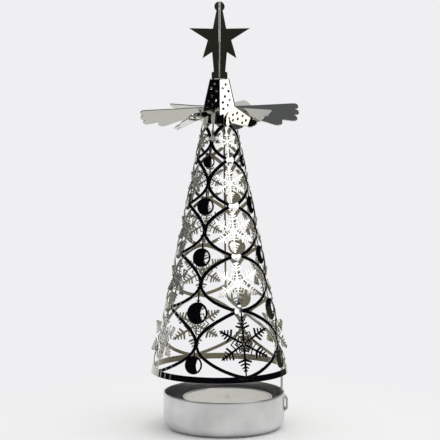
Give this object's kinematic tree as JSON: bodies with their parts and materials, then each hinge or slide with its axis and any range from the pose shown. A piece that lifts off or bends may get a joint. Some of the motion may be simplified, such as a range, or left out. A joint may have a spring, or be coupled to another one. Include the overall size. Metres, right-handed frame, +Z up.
{
  "type": "rotating candle holder",
  "caption": "Table candle holder: a round cup for a tealight, a bent arm with a needle, and a cut-metal tree cone that turns under a bladed rotor with a star.",
  "frame": {"origin": "on the needle's axis, at the table under the cup", "axes": "+Z up along the needle, +X toward the side of the cup that holds the arm, -Y toward the front"},
  "size_m": [0.0663, 0.0624, 0.18],
  "materials": {
    "polished_steel": "mirror polished",
    "satin_steel": "satin",
    "arm_steel": "bright",
    "foil": "bright foil",
    "wax": "smooth wax",
    "wick_cotton": "twisted cotton",
    "bearing_brass": "turned"
  },
  "bodies": {
    "base": {"tealight_cup": "satin_steel", "support_arm": "arm_steel", "pivot_needle": "arm_steel"},
    "tealight": {"tealight_shell": "foil", "wick_sustainer": "foil", "tealight_wax": "wax", "wick": "wick_cotton"},
    "rotor": {"rotor_cap": "polished_steel", "bearing_cup": "bearing_brass", "star_plate_front": "polished_steel", "star_plate_cross": "polished_steel", "tree_panel_1": "polished_steel", "tree_panel_2": "polished_steel", "tree_panel_3": "polished_steel", "tree_panel_4": "polished_steel"}
  },
  "joints": [
    {"name": "rotor_spin", "type": "hinge", "parent": "base", "child": "rotor", "pos_m": [0, 0, 0.1465], "axis": [0, 0, 1], "continuous": true},
    {"name": "tealight_lift", "type": "slide", "parent": "base", "child": "tealight", "axis": [0, 0, 1], "range_m": [0, 0.015]}
  ]
}
